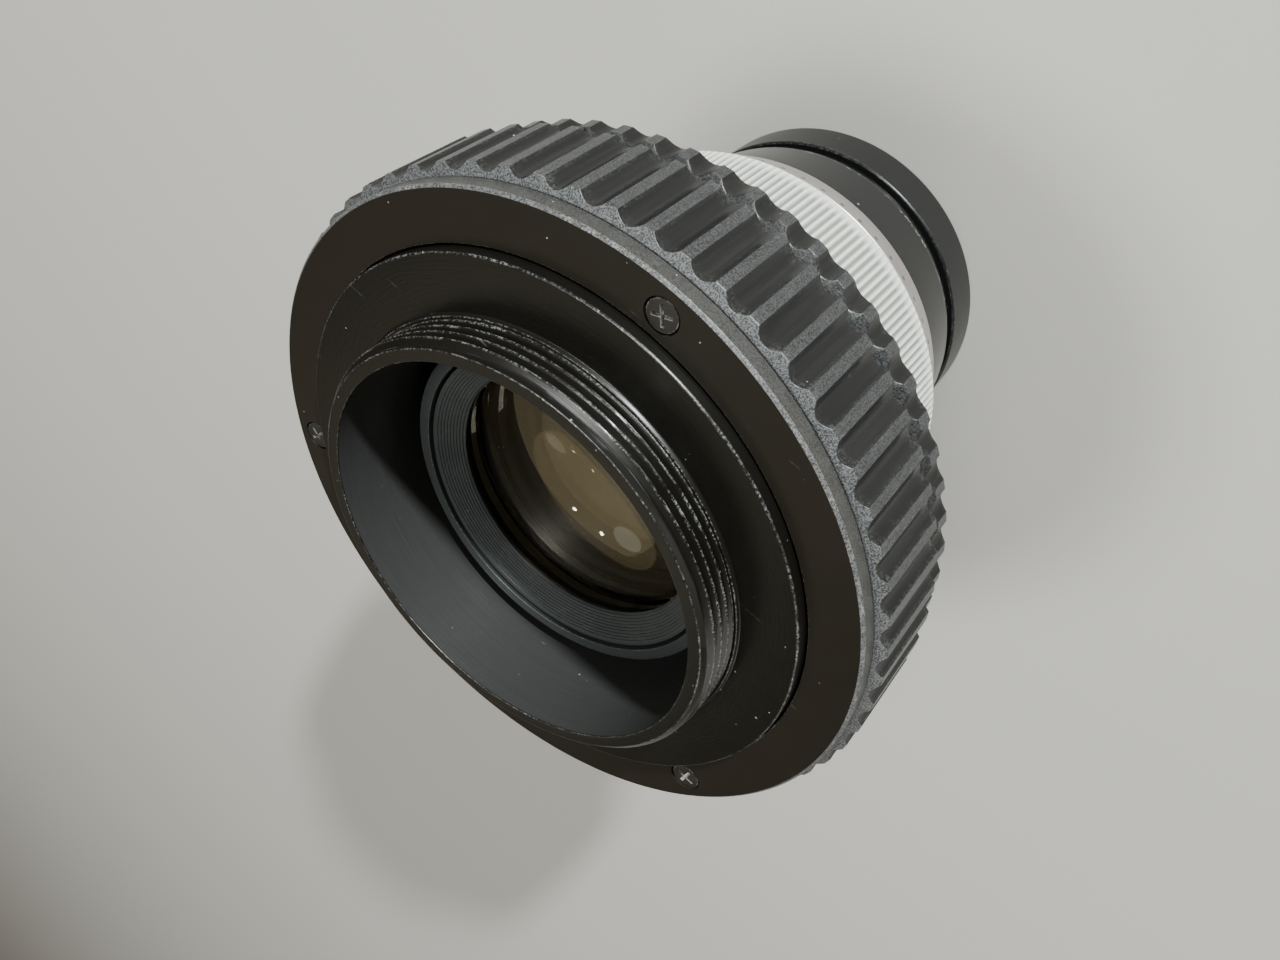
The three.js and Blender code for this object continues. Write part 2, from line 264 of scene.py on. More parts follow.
def cut(obj, cutters):
    """Subtracts every cutter from the object, applies the result and removes the cutters."""
    obj.modifiers.clear()
    for cutter in cutters:
        boolean = obj.modifiers.new("cut", "BOOLEAN")
        boolean.object = cutter
        boolean.solver = "EXACT"
        graph = bpy.context.evaluated_depsgraph_get()
        fresh = bpy.data.meshes.new_from_object(obj.evaluated_get(graph))
        obj.modifiers.clear()
        obj.data = fresh
        bpy.data.objects.remove(cutter)
    obj.data.set_sharp_from_angle(angle=math.radians(CREASE))
    weighted_normals(obj)


def place(obj, body, material, node):
    """Gives a piece its material and body, and lets it replace its CAD node."""
    obj.data.materials.clear()
    obj.data.materials.append(material)
    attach(obj, body)
    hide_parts(node)


def carry(material, *nodes):
    """CAD nodes that stay as they are, with a better material."""
    for node in nodes:
        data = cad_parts[node].data
        data.materials.clear()
        data.materials.append(material)


# ---- materials ----
def scaled(colour, factor):
    return tuple(channel * factor for channel in colour)


class Graph:
    """A material being built, one node per call."""

    def __init__(self, name):
        self.material = bpy.data.materials.new(name)
        self.material.use_nodes = True
        self.nodes = self.material.node_tree.nodes
        self.links = self.material.node_tree.links
        self.shader = self.nodes["Principled BSDF"]
        self.place = self.add("TexCoord").outputs["Object"]

    def add(self, kind, **settings):
        node = self.nodes.new("ShaderNode" + kind)
        for key, value in settings.items():
            setattr(node, key, value)
        return node

    def feed(self, socket, value):
        """Links a socket, or sets a plain number or colour on it."""
        if isinstance(value, bpy.types.NodeSocket):
            self.links.new(value, socket)
        elif isinstance(value, (tuple, list)) and len(value) == 3 and socket.type == "RGBA":
            socket.default_value = (*value, 1)
        else:
            socket.default_value = value

    def math(self, operation, *values, clamp=False):
        node = self.add("Math", operation=operation, use_clamp=clamp)
        for socket, value in zip(node.inputs, values):
            self.feed(socket, value)
        return node.outputs[0]

    def noise(self, scale, detail=3, rough=0.55, where=None):
        node = self.add("TexNoise")
        self.feed(node.inputs["Vector"], where or self.place)
        node.inputs["Scale"].default_value = scale
        node.inputs["Detail"].default_value = detail
        node.inputs["Roughness"].default_value = rough
        return node.outputs["Fac"]

    def step(self, value, low, high):
        """0 below low, 1 above high."""
        node = self.add("MapRange", interpolation_type="SMOOTHSTEP")
        self.feed(node.inputs["Value"], value)
        node.inputs["From Min"].default_value = low
        node.inputs["From Max"].default_value = high
        return node.outputs["Result"]

    def spread(self, value, low, high):
        """Maps 0..1 to low..high."""
        node = self.add("MapRange")
        self.feed(node.inputs["Value"], value)
        node.inputs["To Min"].default_value = low
        node.inputs["To Max"].default_value = high
        return node.outputs["Result"]

    def blend(self, factor, a, b):
        node = self.add("Mix", data_type="RGBA")
        self.feed(node.inputs[0], factor)
        self.feed(node.inputs[6], a)
        self.feed(node.inputs[7], b)
        return node.outputs[2]

    def mark(self, name):
        """A number that the mesh carries on its vertices."""
        return self.add("Attribute", attribute_type="GEOMETRY", attribute_name=name).outputs["Fac"]

    def hypotenuse(self, a, b):
        return self.math("SQRT", self.math("ADD", self.math("MULTIPLY", a, a), self.math("MULTIPLY", b, b)))

    def cylinder_place(self):
        """(angle, radius, height) as three numbers."""
        xyz = self.add("SeparateXYZ")
        self.feed(xyz.inputs[0], self.place)
        x, y, z = xyz.outputs
        return self.math("ARCTAN2", y, x), self.hypotenuse(x, y), z

    def vector(self, *parts):
        node = self.add("CombineXYZ")
        for socket, part in zip(node.inputs, parts):
            self.feed(socket, part)
        return node.outputs[0]

    def turned_place(self, along=3.0):
        """Coordinates in which noise looks like the fine rings a lathe leaves."""
        angle, radius, z = self.cylinder_place()
        return self.vector(self.math("MULTIPLY", self.math("SINE", angle), along * MM), radius, z)

    def streak_place(self):
        """Coordinates in which noise makes lines along the axis, for a painted highlight streak in each
        flute.
        """
        angle, _, z = self.cylinder_place()
        return self.vector(self.math("MULTIPLY", angle, 32 * MM), self.math("MULTIPLY", z, 0.03))

    def bump(self, height, strength, distance, below=None):
        node = self.add("Bump")
        self.feed(node.inputs["Height"], height)
        node.inputs["Strength"].default_value = strength
        node.inputs["Distance"].default_value = distance
        if below is not None:
            self.links.new(below, node.inputs["Normal"])
        return node.outputs["Normal"]

    def specks(self, scale, size, share):
        """Small round specks of dust, in a share of the cells."""
        cells = self.add("TexVoronoi")
        self.feed(cells.inputs["Vector"], self.place)
        cells.inputs["Scale"].default_value = scale
        colour = self.add("SeparateColor")
        self.feed(colour.inputs[0], cells.outputs["Color"])
        reach = self.math("MULTIPLY", colour.outputs[1], size)
        near = self.math("LESS_THAN", cells.outputs["Distance"], reach)
        chosen = self.math("LESS_THAN", colour.outputs[0], share)
        return self.math("MULTIPLY", near, chosen)

    def hairlines(self, direction, threshold):
        """Fine straight scratches along one direction."""
        mapping = self.add("Mapping")
        self.feed(mapping.inputs["Vector"], self.place)
        mapping.inputs["Rotation"].default_value = (0, 0, direction)
        mapping.inputs["Scale"].default_value = (0.08, 1, 1)
        return self.step(self.noise(1700, 1, 0.4, mapping.outputs[0]), threshold, threshold + 0.02)

    def finish(self, **values):
        """Feeds the shader's inputs, named with _ for a space, and returns the material."""
        for key, value in values.items():
            self.feed(self.shader.inputs[key.replace("_", " ")], value)
        return self.material


BARE_METAL, BARE_GLOSS = (0.5, 0.5, 0.49), (0.42, 0.41, 0.38)
DUST, GLOSS_DUST, GLASS_DUST = (0.5, 0.49, 0.47), (0.5, 0.5, 0.48), (0.8, 0.78, 0.72)
# Speckled grit colours for crest-marked surfaces: the grip rib tops' finish, and a painted highlight on the
# focus shoulder and the plate's edge.
SPECKLE_DARK, SPECKLE_LIGHT = (0.03, 0.031, 0.032), (0.19, 0.195, 0.2)
RINGED_DARK, RINGED_LIGHT = (0.06, 0.062, 0.062), (0.09, 0.093, 0.093)
# A painted highlight: the lighter colour of a streak along each grip flute.
HIGHLIGHT_STREAK = (0.03, 0.031, 0.031)
# The first is dirt; the second is painted shade in the knurl grooves.
DIRT, GROOVE_SHADE = (0.2, 0.18, 0.15), (0.12, 0.12, 0.1)


def anodised(name, colour, rough, grain=0.3, rings=0.0, wear=0.5, dust=0.3, crest_lightening=0.0, shine=0.5,
             highlight_streaks=0.0):
    """Black anodised aluminium: fine grit grain, lathe rings, bare metal on worn edges, dust, hairlines,
    optionally a painted highlight streak along each flute, and crest-marked surfaces lightened, partly as a
    grit finish and partly as a painted highlight.
    """
    g = Graph(name)
    fine = g.noise(GRAIN_SCALE, 2, 0.6)
    broad = g.noise(90, 4, 0.6)
    patch = g.noise(420, 5, 0.6)
    grit = g.step(fine, 0.36, 0.64)
    worn = g.math("MULTIPLY", g.mark("wear"), g.step(g.noise(4200, 4, 0.7), 0.47, 0.6))
    worn = g.math("MULTIPLY", worn, g.spread(g.step(patch, 0.4, 0.65), 0.25 * wear, wear), clamp=True)
    dusty = g.math("MULTIPLY", g.specks(380, 0.05, dust), g.step(broad, 0.42, 0.6))
    dusty = g.math("MAXIMUM", dusty, g.specks(950, 0.08, 0.3 * dust))
    scratch = g.math("MULTIPLY", g.hairlines(0.7, 0.745), g.step(patch, 0.5, 0.7))
    base = g.blend(g.step(broad, 0.35, 0.75), colour, scaled(colour, 1.3))
    base = g.blend(g.math("MULTIPLY", grit, 0.35), base, scaled(colour, 0.5))
    roughness = g.spread(patch, rough - 0.05, rough + 0.06)
    roughness = g.math("ADD", roughness, g.math("MULTIPLY", dusty, 0.3), clamp=True)
    height = fine
    # A painted highlight: lighter streaks along the axis in the flutes.
    if highlight_streaks:
        streak_sheen = g.step(g.noise(1500, 3, 0.6, g.streak_place()), 0.35, 0.7)
        base = g.blend(g.math("MULTIPLY", streak_sheen, highlight_streaks), base, HIGHLIGHT_STREAK)
        roughness = g.math("SUBTRACT", roughness, g.math("MULTIPLY", streak_sheen, 0.08))
    # Lightens crest-marked surfaces toward a speckled or ringed colour: the rib tops and bore wall as their
    # finish, the focus shoulder and the plate's edge partly as a painted highlight.
    if crest_lightening:
        lightened = g.mark("crest")
        if rings:
            speckled = g.blend(g.noise(LATHE_SCALE, 2, 0.5, g.turned_place(0.6)), RINGED_DARK, RINGED_LIGHT)
        else:
            speckled = g.blend(grit, SPECKLE_DARK, SPECKLE_LIGHT)
        base = g.blend(g.math("MULTIPLY", lightened, crest_lightening, clamp=True), base, speckled)
        roughness = g.math("ADD", roughness, g.math("MULTIPLY", lightened, 0.04), clamp=True)
        height = g.math("MULTIPLY", fine, g.spread(lightened, 0.35, 1.6))
    base = g.blend(worn, base, BARE_METAL)
    spots = g.math("ADD", g.math("MULTIPLY", dusty, 0.6), g.math("MULTIPLY", scratch, 0.12), clamp=True)
    base = g.blend(spots, base, DUST)
    normal = g.bump(height, grain, GRAIN_HEIGHT)
    if rings:
        normal = g.bump(g.noise(LATHE_SCALE, 2, 0.5, g.turned_place()), rings, GRAIN_HEIGHT, normal)
    metal = g.math("MULTIPLY", worn, 0.8)
    return g.finish(Base_Color=base, Roughness=roughness, Metallic=metal, Normal=normal,
                    Specular_IOR_Level=shine)


def enamel(name, colour):
    """Gloss black enamel with faint ripple, dust and rubbed edges."""
    g = Graph(name)
    broad = g.noise(160, 3)
    fine = g.noise(1900, 4, 0.6)
    worn = g.math("MULTIPLY", g.mark("wear"), g.step(fine, 0.5, 0.64), clamp=True)
    dusty = g.math("MULTIPLY", g.specks(300, 0.08, 0.3), g.step(broad, 0.42, 0.6))
    base = g.blend(g.step(broad, 0.3, 0.8), colour, scaled(colour, 1.4))
    base = g.blend(worn, base, BARE_GLOSS)
    base = g.blend(dusty, base, GLOSS_DUST)
    roughness = g.math("ADD", g.spread(g.noise(60, 4), 0.09, 0.22), g.math("MULTIPLY", dusty, 0.4))
    normal = g.bump(broad, 0.06, 0.0002)
    metal = g.math("MULTIPLY", worn, 0.8)
    return g.finish(Base_Color=base, Roughness=roughness, Normal=normal, Metallic=metal,
                    Specular_IOR_Level=0.2, Coat_Weight=0.1, Coat_Roughness=0.06)


def bright_metal(name, colour, rough, rings=0.25, stain=0.5, metallic=1.0, groove_shade=0.0):
    """Satin plated or turned metal: lathe rings, soft stains, dirt, and painted shade in marked recesses."""
    g = Graph(name)
    broad = g.noise(110, 5, 0.6)
    ring = g.noise(PLATED_LATHE_SCALE, 3, 0.6, g.turned_place())
    dirt = g.math("MULTIPLY", g.step(g.noise(700, 5, 0.7), 0.5, 0.75), g.step(broad, 0.4, 0.7))
    base = g.blend(g.math("MULTIPLY", g.step(broad, 0.35, 0.8), stain), colour, scaled(colour, 0.72))
    base = g.blend(g.math("MULTIPLY", dirt, stain * 0.6), base, DIRT)
    # Painted shade in the marked recesses.
    if groove_shade:
        base = g.blend(g.math("MULTIPLY", g.mark("crest"), groove_shade), base, GROOVE_SHADE)
    roughness = g.spread(ring, rough - 0.06, rough + 0.08)
    roughness = g.math("ADD", roughness, g.math("MULTIPLY", dirt, 0.2), clamp=True)
    normal = g.bump(ring, rings, GRAIN_HEIGHT, g.bump(g.noise(1500, 3), 0.05, 0.00005))
    return g.finish(Base_Color=base, Roughness=roughness, Metallic=metallic, Normal=normal)


def coated_glass(name, colour, reflection):
    """Lens glass with an anti-reflection coating, a little haze and dust."""
    g = Graph(name)
    haze = g.noise(140, 5, 0.65)
    dusty = g.math("MULTIPLY", g.specks(500, 0.07, 0.3), g.step(haze, 0.45, 0.62))
    hazy = g.blend(haze, colour, tuple(min(1, channel * 1.06) for channel in colour))
    base = g.blend(dusty, hazy, GLASS_DUST)
    roughness = g.math("ADD", g.spread(haze, 0.005, 0.035), g.math("MULTIPLY", dusty, 0.5))
    normal = g.bump(haze, 0.02, 0.00005)
    return g.finish(Base_Color=base, Roughness=roughness, Normal=normal, Transmission_Weight=1.0, IOR=1.6,
                    Specular_Tint=(*reflection, 1))


def nylon_material():
    g = Graph("nylon_glide")
    fine = g.noise(1200, 4)
    base = g.blend(g.step(g.noise(200, 4), 0.4, 0.7), (0.78, 0.76, 0.7), (0.62, 0.59, 0.52))
    normal = g.bump(fine, 0.12, GRAIN_HEIGHT)
    return g.finish(Base_Color=base, Roughness=g.spread(fine, 0.45, 0.62), Normal=normal)


def floor_material():
    g = Graph("studio_floor")
    cloudy = g.noise(3, 3)
    base = g.blend(cloudy, (0.62, 0.6, 0.57), (0.66, 0.64, 0.61))
    normal = g.bump(g.noise(900, 2), 0.04, 0.0002)
    return g.finish(Base_Color=base, Roughness=g.spread(cloudy, 0.6, 0.7), Normal=normal)


def index_material():
    """Warm satin band with small dark dots for the aperture stops, next to the knurled ring."""
    g = Graph("index_band")
    angle, _, z = g.cylinder_place()
    broad = g.noise(120, 4)
    ring = g.noise(PLATED_LATHE_SCALE, 3, 0.6, g.turned_place())
    turn = g.math("DIVIDE", angle, DOT_SPACING)
    away = g.math("SUBTRACT", turn, g.math("ROUND", turn))
    away = g.math("MULTIPLY", away, DOT_SPACING * 21.9 * MM)
    rise = g.math("SUBTRACT", z, DOT_HEIGHT * MM)
    dot = g.step(g.hypotenuse(away, rise), 0.3 * MM, 0.22 * MM)
    after_start = g.math("GREATER_THAN", angle, DOT_ARC[0])
    before_end = g.math("LESS_THAN", angle, DOT_ARC[1])
    dot = g.math("MULTIPLY", dot, g.math("MULTIPLY", after_start, before_end))
    base = g.blend(g.step(broad, 0.35, 0.75), (0.62, 0.575, 0.57), (0.5, 0.46, 0.455))
    base = g.blend(dot, base, (0.02, 0.02, 0.02))
    roughness = g.math("ADD", g.spread(ring, 0.3, 0.42), g.math("MULTIPLY", dot, 0.2))
    metal = g.math("SUBTRACT", 0.85, g.math("MULTIPLY", dot, 0.8))
    normal = g.bump(ring, 0.2, GRAIN_HEIGHT)
    return g.finish(Base_Color=base, Roughness=roughness, Metallic=metal, Normal=normal)


# The grips carry a painted highlight streak in each flute, and a painted highlight on the focus ring's marked
# shoulder.
black_grip = anodised("grip_black", (0.003, 0.0032, 0.0032), 0.34, grain=0.5, wear=0.14, dust=0.3,
                      crest_lightening=0.28, shine=0.3, highlight_streaks=0.2)
# The warm brown tint of the plate and tube blacks is a painted reflection of a warm room.
black_plate = anodised("plate_black", (0.0105, 0.008, 0.0045), 0.42, grain=0.1, wear=0.6,
                       dust=0.75, crest_lightening=0.55)
black_tube = anodised("tube_black", (0.0055, 0.005, 0.0038), 0.3, grain=0.08, rings=0.4, wear=0.6,
                      dust=0.9, crest_lightening=0.4)
black_lens = anodised("lens_black", (0.04, 0.045, 0.045), 0.4, grain=0.1, rings=0.25, wear=0.35,
                      dust=0.5, shine=0.4)
black_front = anodised("front_black", (0.007, 0.0075, 0.0075), 0.3, grain=0.1, rings=0.15, wear=0.3,
                       dust=0.2, shine=0.35)
black_inner = anodised("chamber_black", (0.004, 0.004, 0.004), 0.5, grain=0.2, rings=0.2, wear=0.1, dust=0.1)
black_gloss = enamel("gloss_black", (0.003, 0.003, 0.0035))
screw_black = anodised("screw_black", (0.025, 0.023, 0.02), 0.34, grain=0.3, wear=0.9, dust=0.3)
# The marked knurl grooves get painted shade.
silver_satin = bright_metal("silver_satin", (0.93, 0.96, 0.92), 0.42, rings=0.2, stain=0.15,
                            metallic=0.3, groove_shade=0.85)
silver_band = index_material()
brass_turned = bright_metal("turned_brass", (0.72, 0.53, 0.25), 0.32, rings=0.4)
steel_bright = bright_metal("bright_steel", (0.6, 0.6, 0.6), 0.3, rings=0.2)
screw_slot = bright_metal("screw_slot", (0.42, 0.41, 0.38), 0.4, rings=0.1, metallic=0.7)
blade_steel = bright_metal("blade_steel", (0.1, 0.1, 0.11), 0.42, rings=0.1)
amber_glass = coated_glass("amber_glass", (0.93, 0.87, 0.72), (1.0, 0.86, 0.6))
clear_glass = coated_glass("clear_glass", (0.95, 0.93, 0.85), (0.8, 0.9, 1.0))
nylon = nylon_material()


# ---- rear mount ----
def mount_tube():
    first, last = DISC_TOP + 0.3, RIM - 0.55
    samples = 54
    crest = THREAD_RADIUS - 0.04
    body = soften(
        [(BORE, 40.3), (20.8, 40.3), (20.8, 54.6), (25, 54.6), (25, 53.2), (27.3, 53.2), (27.3, 53.8),
         (DISC_RADIUS, 53.8), (DISC_RADIUS, DISC_TOP, 0.22), (21.35, DISC_TOP, 0.1), (21.2, first, 0.1),
         (20.6, first, 0.02)], 0.1, 4)
    rim = soften([(THREAD_RADIUS - 0.1, last), (20.35, RIM, 0.1), (BORE, RIM, 0.1), (BORE, 57)], 0.1, 4)
    rim = [point for point in rim if point[1] > RIM - 0.3] + [(BORE, RIM - 0.2, 0.0, 1.0)]
    body = [(*point, 1.0 if point[0] < BORE + 0.01 else 0.0) for point in body]

    def section(angle):
        points = list(body)
        for k in range(samples + 1):
            z = first + (last - first) * k / samples
            depth = THREAD_DEPTH * min(1.0, (z - first) / 0.5 + 0.15)
            r = thread_radius(z, angle, crest, depth, THREAD_PITCH)
            chamfer = 20.4 + (RIM - z) * 0.95
            points.append((min(r, chamfer), z, 1.0 if r > THREAD_RADIUS - 0.1 else 0.0))
        return points + rim

    tube = revolve("threaded_mount_tube", section, even_angles(240), crease=24)
    place(tube, "rear_mount", black_tube, "mount_tube")


def rear_plate():
    relief = (27.5, 54.1)
    corner = (PLATE_RADIUS, PLATE_TOP - PLATE_BEVEL)
    profile = soften(
        [(relief[0], PLATE_BOTTOM), (PLATE_RADIUS, PLATE_BOTTOM), (*corner, 0.04),
         (PLATE_RADIUS - PLATE_BEVEL, PLATE_TOP, 0.04), (PLATE_HOLE, PLATE_TOP, 0.1),
         (PLATE_HOLE, relief[1]), relief], 0.06, 3)

    # Crest marks lighten the bevel and, less, the outer wall as a painted highlight; the bevel is marked worn
    # too.
    def marked(r, z, wear):
        if r + z > sum(corner) - 0.03:
            return r, z, 0.7, 1.2
        return r, z, wear, 0.45 * (r > PLATE_RADIUS - 0.07)

    profile = [marked(*point) for point in profile]
    plate = revolve("rear_plate_face", lambda angle: profile, even_angles(240))
    cutters = []
    for angle in SCREW_ANGLES:
        x, y = polar(SCREW_CIRCLE, math.radians(angle))
        cutters.append(cylinder_cutter(x, y, 53.95, 56, 1.58))
        cutters.append(cylinder_cutter(x, y, 52, 54.5, 1.05))
    cut(plate, cutters)
    place(plate, "rear_mount", black_plate, "rear_plate")


def rear_screws():
    recess_radius, recess_floor, recess_top = 1.2, 54.2, 54.72
    profile = [(0.02, 50.9), (0.75, 50.9), (0.75, 54.05), (1.42, 54.05), (1.44, 54.74, 0.14), (0.02, 54.76)]
    for i, angle in enumerate(SCREW_ANGLES):
        x, y = polar(SCREW_CIRCLE, math.radians(angle))
        screw = turned("plate_screw_" + str(i + 1), profile, 0.05, 3, sides=40)
        for vertex in screw.data.vertices:
            vertex.co.x += x * MM
            vertex.co.y += y * MM
        lean = math.radians(angle + 28)
        cut(screw, [box_cutter(x, y, 54.75, size, lean) for size in ((1.9, 0.34, 1.0), (0.34, 1.9, 1.0))])
        place(screw, "rear_mount", screw_black, "rear_screw_" + str(i + 1))
        screw.data.materials.append(screw_slot)
        for polygon in screw.data.polygons:
            off_axis = math.hypot(polygon.center.x / MM - x, polygon.center.y / MM - y)
            if off_axis < recess_radius and recess_floor < polygon.center.z / MM < recess_top:
                polygon.material_index = 1


def rear_barrel():
    inner = soften([(30.1, 52.9), (27, 52.9), (27, 49.9), (28.5, 49.9), (28.5, 45.2), (30.1, 45.2)], 0.1, 3)

    def section(angle):
        return inner + helicoid_thread(45.5, 52.7, angle, 30.4, 60)

    barrel = revolve("helicoid_rear_barrel", section, even_angles(220), crease=24)
    place(barrel, "rear_mount", black_tube, "rear_barrel")


# ---- grips ----
def focus_ring():
    slope = FOCUS_DROP / (FOCUS_TIP - FOCUS_SHOULDER)
    inner = soften([(FOCUS_BORE, FOCUS_REAR), (FOCUS_BORE, FOCUS_WEB_TOP), (FOCUS_WEB_BORE, FOCUS_WEB_TOP),
                    (FOCUS_WEB_BORE, FOCUS_FRONT)], 0.1, 3)
    inner = [point for point in inner if point[0] < 31]

    def section(angle):
        depth, top = flute_depth(angle, FOCUS_TURN)
        r = FOCUS_TIP - depth
        low, high = FOCUS_FRONT, FOCUS_REAR - (r - FOCUS_SHOULDER) * slope
        lip = 0.5 if 0 < depth < 0.1 else 0.0
        wall = [(FOCUS_TIP - 1.4, low, 0), (r - 0.08, low, 0.6, 0), (r, low + 0.08, 0.6, top)]
        for k in range(1, 8):
            wall.append((r, low + 0.08 + (high - low - 0.15) * k / 8, lip, top))
        # The rear shoulder's crest marks, above the rib tops' 1, lighten it as a painted highlight.
        wall += [(r, high - 0.06, 0.8, top), (r - 0.05, high + 0.02, 0.9, 2.7)]
        wall += [(FOCUS_SHOULDER + 0.05, FOCUS_REAR - 0.03, 0.4, 2.7),
                 (FOCUS_SHOULDER - 0.03, FOCUS_REAR - 0.004, 0.8, 2),
                 (FOCUS_SHOULDER - 0.12, FOCUS_REAR, 0.3, 1)]
        return wall + inner

    ring = revolve("focus_grip_ring", section, fluted_angles(FOCUS_TURN), crease=26)
    place(ring, "focus_grip", black_grip, "focus_ring")


def front_barrel():
    slope = FLANGE_DROP / (FLANGE_TIP - FLANGE_SHOULDER)
    inside, outside = FLANGE_SHOULDER - 0.1, FLANGE_SHOULDER + 0.1

    def section(angle):
        depth, top = flute_depth(angle, FLANGE_TURN)
        r = FLANGE_TIP - depth
        inset = (r - FLANGE_SHOULDER) * slope
        front, rear = FLANGE_FRONT + inset, FLANGE_REAR - inset
        wall = [(BARREL_BORE, FLANGE_FRONT + 0.1, 0), (BARREL_BORE + 0.1, FLANGE_FRONT, 0.4),
                (inside, FLANGE_FRONT, 0.3, 0.5), (outside, FLANGE_FRONT + 0.1 * slope, 0.3, 1),
                (r - 0.06, front - 0.03, 0.7, 1), (r, front + 0.06, 0.7, top)]
        for k in range(1, 4):
            wall.append((r, front + 0.06 + (rear - front - 0.12) * k / 4, 0.0, top))
        wall += [(r, rear - 0.06, 0.7, top), (r - 0.06, rear + 0.03, 0.7, 1),
                 (outside, FLANGE_REAR - 0.1 * slope, 0.3, 1), (inside, FLANGE_REAR, 0.3, 0.5),
                 (BARREL_RADIUS - 0.5, FLANGE_REAR, 0)]
        wall += helicoid_thread(FLANGE_REAR + 0.6, BARREL_END - 0.3, -angle, BARREL_RADIUS, 64)
        return wall + [(BARREL_RADIUS - 0.4, BARREL_END, 0.5), (BARREL_BORE + 0.1, BARREL_END, 0.5),
                       (BARREL_BORE, BARREL_END - 0.1, 0)]

    barrel = revolve("helicoid_front_barrel", section, fluted_angles(FLANGE_TURN), crease=26)
    cut(barrel, [box_cutter(side * 21.5, 0, 47.6, (2.8, 4.6, 15.2), 0) for side in (-1, 1)])
    place(barrel, "lens", black_grip, "front_barrel")


# ---- lens outside ----
def aperture_ring():
    inner = soften([(22.4, APERTURE_REAR), (21, APERTURE_REAR), (21, 24.9), (17.9, 24.9),
                    (17.9, APERTURE_FRONT), (22.2, APERTURE_FRONT)], 0.12, 3)
    steps = (-0.5, -0.36, -0.22, -0.08, 0.08, 0.22, 0.36)
    pitch = TURN / KNURL_COUNT
    angles = [(i + step) * pitch for i in range(KNURL_COUNT) for step in steps]

    def section(angle):
        across = abs(angle / pitch - round(angle / pitch)) * 2
        groove = max(0.0, min(1.0, (across - 0.16) / 0.6))
        wall = [(22.35, 20.72, 0.3), (22.5, 20.85, 0.3)]
        for k in range(9):
            share = k / 8
            ends = min(1.0, min(share, 1 - share) * 14)
            r = APERTURE_RADIUS - KNURL_DEPTH * groove * ends
            # The groove mark darkens the knurl's grooves with painted shade.
            wall.append((r, 20.95 + 9.1 * share, 0.0, groove * ends))
        return wall + [(22.55, 30.2, 0)] + inner

    ring = revolve("aperture_ring_knurled", section, angles, crease=40)
    place(ring, "aperture_control", silver_satin, "aperture_ring")


def lens_outside():
    profile = [(17.9, 15.75), (20.45, 15.75, 0.2), (22.35, 20.4, 0.15), (17.9, 20.4)]
    band = turned("aperture_index_band", profile, 0.1)
    cut(band, [cylinder_cutter(*polar(19.7, math.radians(45)), 17.2, 22, 1, 24)])
    place(band, "lens", silver_band, "index_ring")

    barrel = turned(
        "gloss_barrel",
        [(14.4, 2.9), (15.7, 2.9), (15.7, 5.7), (17.3, 5.7), (17.3, 6.2), (18.1, 6.25, 0.2), (18.5, 7.6, 0.3),
         (18.75, 9.0, 0.4), (19.8, 14.6, 0.5), (19.95, 15.4, 0.2), (17.6, 15.4), (17.6, 33.6), (16.4, 33.6),
         (16.4, 16.4), (14.4, 16.4)], 0.1, 3, FINE)
    place(barrel, "lens", black_gloss, "lens_body")

    ring = turned(
        "front_rim_ring",
        [(16, 0), (17.85, 0, 0.2), (18.3, 0.4, 0.3), (18.38, 5.2, 0.2), (18.2, 5.4), (16, 5.4)], 0.1, 3, FINE)
    place(ring, "lens", black_front, "front_ring")

    flange = turned(
        "lens_thread_adapter", [(19.75, 36.9), (24.4, 36.9), (24.4, 38), (20.8, 38), (20.8, 40), (19.75, 40)])
    place(flange, "lens", black_plate, "adapter_ring")

    rear = turned(
        "lens_rear_housing",
        [(17.95, 30.6), (22.1, 30.6), (22.1, 33.9), (25.6, 33.9), (25.6, 36.6), (19.4, 36.6), (19.4, 39.8),
         (17.2, 39.8), (17.2, 51.8, 0.35), (15.95, 51.8, 0.12), (15.95, 49.1), (15.2, 49.1), (15.2, 34),
         (17.95, 34)], 0.12, 4)
    place(rear, "lens", black_lens, "lens_rear_barrel")


def stepped_cone(outer, inner, steps):
    """Points down a cone cut in fine steps, from (r, z) outer to inner."""
    points = []
    for k in range(steps):
        share, further = k / steps, (k + 0.72) / steps
        r = outer[0] + (inner[0] - outer[0]) * share
        r_next = outer[0] + (inner[0] - outer[0]) * further
        z = outer[1] + (inner[1] - outer[1]) * share
        z_next = outer[1] + (inner[1] - outer[1]) * (k + 1) / steps
        points.append((r, z, 0.03))
        points.append((r_next, z - 0.04, 0.03))
        points.append((r_next - 0.02, z_next, 0.02))
    return points


